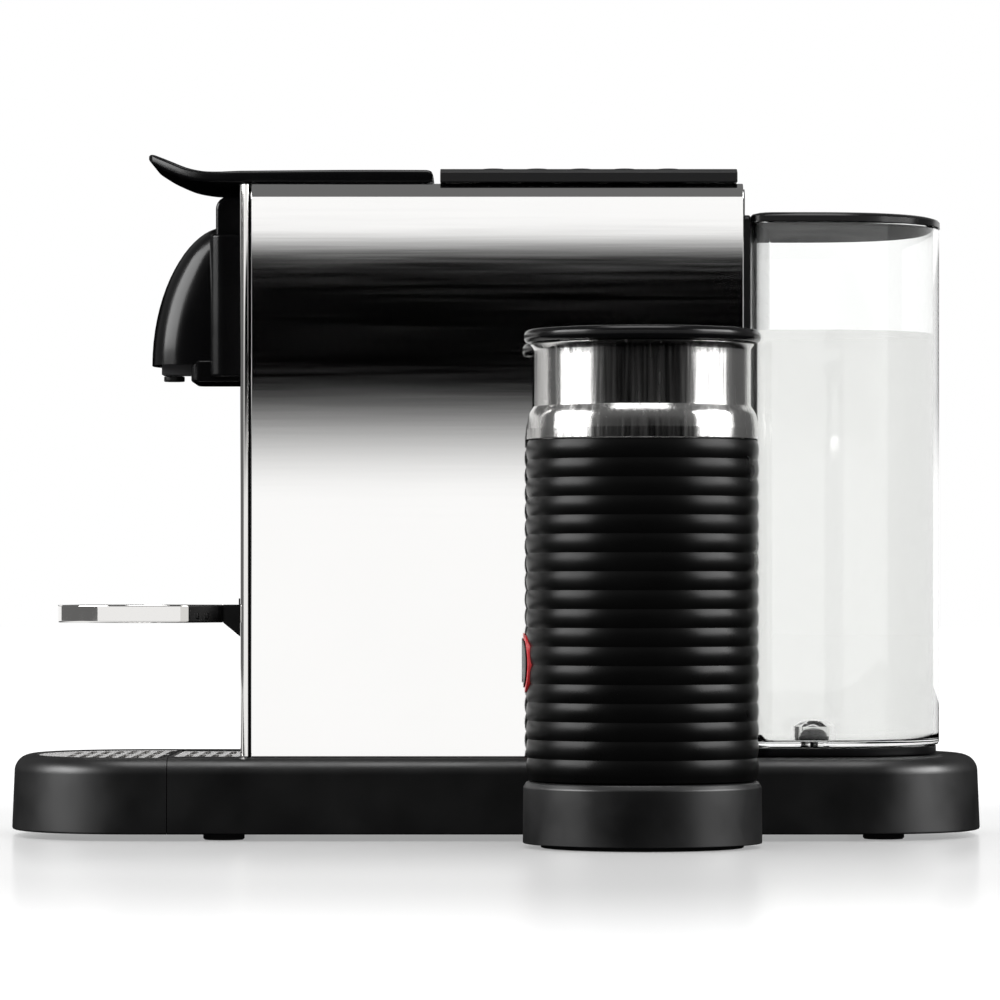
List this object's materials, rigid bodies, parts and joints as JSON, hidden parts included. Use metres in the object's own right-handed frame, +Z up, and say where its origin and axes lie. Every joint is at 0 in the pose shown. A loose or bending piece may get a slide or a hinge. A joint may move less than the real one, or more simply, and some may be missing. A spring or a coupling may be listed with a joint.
{
  "type": "pod coffee machine",
  "caption": "Pod coffee machine: a chrome column on a long black base with a top lever, folding cup support, clear water tank behind and a ribbed milk frother on a round plinth beside it.",
  "frame": {"origin": "on the table, under the middle of the whole object", "axes": "+Z up; the front with the brew head faces -Y; +X is the right-hand side seen from the front, where the frother stands"},
  "size_m": [0.22, 0.381, 0.2673],
  "materials": {
    "base_housing": "gloss",
    "base_plate": "matte",
    "foot_1": "matte",
    "foot_2": "matte",
    "foot_3": "matte",
    "foot_4": "matte",
    "power_inlet": "matte",
    "front_frame": "satin",
    "body_shell": "polished",
    "chassis": "matte",
    "rear_panel": "matte",
    "top_cover": "gloss",
    "status_light": "gloss",
    "control_board": "matte",
    "lever_mount": "satin",
    "lever_pin": "satin",
    "brew_frame": "matte",
    "pod_cage": "satin",
    "pod_chute": "matte",
    "coffee_duct": "matte",
    "brew_head": "gloss",
    "nozzle": "matte",
    "heater_block": "cast",
    "pump": "satin",
    "pump_tube": "satin",
    "inlet_tube": "satin",
    "tank_seat": "matte",
    "frother_plinth": "satin",
    "plinth_foot": "matte",
    "frother_connector": "matte",
    "drip_tray": "gloss",
    "rear_grid": "satin",
    "pod_bin": "matte",
    "front_panel": "satin",
    "cup_bracket": "matte",
    "cup_hinge_pin": "satin",
    "drip_grid": "satin",
    "cup_support": "polished",
    "lever": "gloss",
    "brew_carriage": "matte",
    "pierce_plate": "satin",
    "button_1": "gloss",
    "button_2": "gloss",
    "button_3": "gloss",
    "button_4": "gloss",
    "button_5": "gloss",
    "water_tank": "clear",
    "tank_lid": "gloss",
    "tank_valve": "matte",
    "frother_sleeve": "satin",
    "frother_collar": "polished",
    "frother_cup": "satin",
    "frother_motor": "satin",
    "button_ring": "gloss",
    "frother_lid": "gloss",
    "lid_seal": "matte",
    "drive_disc": "satin",
    "whisk": "satin",
    "frother_button": "gloss"
  },
  "bodies": {
    "machine": {"base_housing": "base_housing", "base_plate": "base_plate", "foot_1": "foot_1", "foot_2": "foot_2", "foot_3": "foot_3", "foot_4": "foot_4", "power_inlet": "power_inlet", "front_frame": "front_frame", "body_shell": "body_shell", "chassis": "chassis", "rear_panel": "rear_panel", "top_cover": "top_cover", "status_light": "status_light", "control_board": "control_board", "lever_mount": "lever_mount", "lever_pin": "lever_pin", "brew_frame": "brew_frame", "pod_cage": "pod_cage", "pod_chute": "pod_chute", "coffee_duct": "coffee_duct", "brew_head": "brew_head", "nozzle": "nozzle", "heater_block": "heater_block", "pump": "pump", "pump_tube": "pump_tube", "inlet_tube": "inlet_tube", "tank_seat": "tank_seat", "frother_plinth": "frother_plinth", "plinth_foot": "plinth_foot", "frother_connector": "frother_connector"},
    "tray_unit": {"drip_tray": "drip_tray", "rear_grid": "rear_grid", "pod_bin": "pod_bin", "front_panel": "front_panel", "cup_bracket": "cup_bracket", "cup_hinge_pin": "cup_hinge_pin"},
    "brew_carriage": {"brew_carriage": "brew_carriage", "pierce_plate": "pierce_plate"},
    "frother_jug": {"frother_sleeve": "frother_sleeve", "frother_collar": "frother_collar", "frother_cup": "frother_cup", "frother_motor": "frother_motor", "button_ring": "button_ring"},
    "frother_lid": {"frother_lid": "frother_lid", "lid_seal": "lid_seal"},
    "drip_grid": {"drip_grid": "drip_grid"},
    "cup_support": {"cup_support": "cup_support"},
    "lever": {"lever": "lever"},
    "button_1": {"button_1": "button_1"},
    "button_2": {"button_2": "button_2"},
    "button_3": {"button_3": "button_3"},
    "button_4": {"button_4": "button_4"},
    "button_5": {"button_5": "button_5"},
    "water_tank": {"water_tank": "water_tank"},
    "tank_lid": {"tank_lid": "tank_lid"},
    "tank_valve": {"tank_valve": "tank_valve"},
    "drive_disc": {"drive_disc": "drive_disc"},
    "whisk": {"whisk": "whisk"},
    "frother_button": {"frother_button": "frother_button"}
  },
  "joints": [
    {"name": "tray_slide", "type": "slide", "parent": "machine", "child": "tray_unit", "axis": [0, -1, 0], "range_m": [0, 0.1]},
    {"name": "grid_lift", "type": "slide", "parent": "tray_unit", "child": "drip_grid", "axis": [0, 0, 1], "range_m": [0, 0.03]},
    {"name": "cup_support_fold", "type": "hinge", "parent": "tray_unit", "child": "cup_support", "pos_m": [-0.045, -0.1048, 0.087], "axis": [-1, 0, 0], "range_deg": [0, 90]},
    {"name": "lever_hinge", "type": "hinge", "parent": "machine", "child": "lever", "pos_m": [-0.045, -0.02675, 0.2556], "axis": [-1, 0, 0], "range_deg": [0, 70]},
    {"name": "carriage_slide", "type": "slide", "parent": "machine", "child": "brew_carriage", "axis": [0, -1, 0], "range_m": [0, 0.024]},
    {"name": "button_1_press", "type": "slide", "parent": "machine", "child": "button_1", "axis": [0, 0, -1], "range_m": [0, 0.0015], "stiffness_N_per_m": 400, "springref_m": -0.0005},
    {"name": "button_2_press", "type": "slide", "parent": "machine", "child": "button_2", "axis": [0, 0, -1], "range_m": [0, 0.0015], "stiffness_N_per_m": 400, "springref_m": -0.0005},
    {"name": "button_3_press", "type": "slide", "parent": "machine", "child": "button_3", "axis": [0, 0, -1], "range_m": [0, 0.0015], "stiffness_N_per_m": 400, "springref_m": -0.0005},
    {"name": "button_4_press", "type": "slide", "parent": "machine", "child": "button_4", "axis": [0, 0, -1], "range_m": [0, 0.0015], "stiffness_N_per_m": 400, "springref_m": -0.0005},
    {"name": "button_5_press", "type": "slide", "parent": "machine", "child": "button_5", "axis": [0, 0, -1], "range_m": [0, 0.0015], "stiffness_N_per_m": 400, "springref_m": -0.0005},
    {"name": "tank_lift", "type": "slide", "parent": "machine", "child": "water_tank", "axis": [0, 0, 1], "range_m": [0, 0.12]},
    {"name": "tank_lid_lift", "type": "slide", "parent": "water_tank", "child": "tank_lid", "axis": [0, 0, 1], "range_m": [0, 0.05]},
    {"name": "tank_valve_lift", "type": "slide", "parent": "water_tank", "child": "tank_valve", "axis": [0, 0, 1], "range_m": [0, 0.003], "stiffness_N_per_m": 100, "springref_m": -0.002},
    {"name": "frother_lift", "type": "slide", "parent": "machine", "child": "frother_jug", "axis": [0, 0, 1], "range_m": [0, 0.1]},
    {"name": "frother_lid_lift", "type": "slide", "parent": "frother_jug", "child": "frother_lid", "axis": [0, 0, 1], "range_m": [0, 0.04]},
    {"name": "drive_spin", "type": "hinge", "parent": "frother_jug", "child": "drive_disc", "pos_m": [0.0652, 0.0548, 0.0534], "axis": [0, 0, 1], "continuous": true},
    {"name": "whisk_spin", "type": "hinge", "parent": "frother_jug", "child": "whisk", "pos_m": [0.0652, 0.0548, 0.064], "axis": [0, 0, 1], "continuous": true},
    {"name": "frother_button_press", "type": "slide", "parent": "frother_jug", "child": "frother_button", "axis": [0, 1, 0], "range_m": [0, 0.0015], "stiffness_N_per_m": 400, "springref_m": -0.0005}
  ],
  "couplings": [
    {"joint": "carriage_slide", "follows": "lever_hinge", "m_per_rad": 0.01964},
    {"joint": "whisk_spin", "follows": "drive_spin", "ratio": 1}
  ]
}
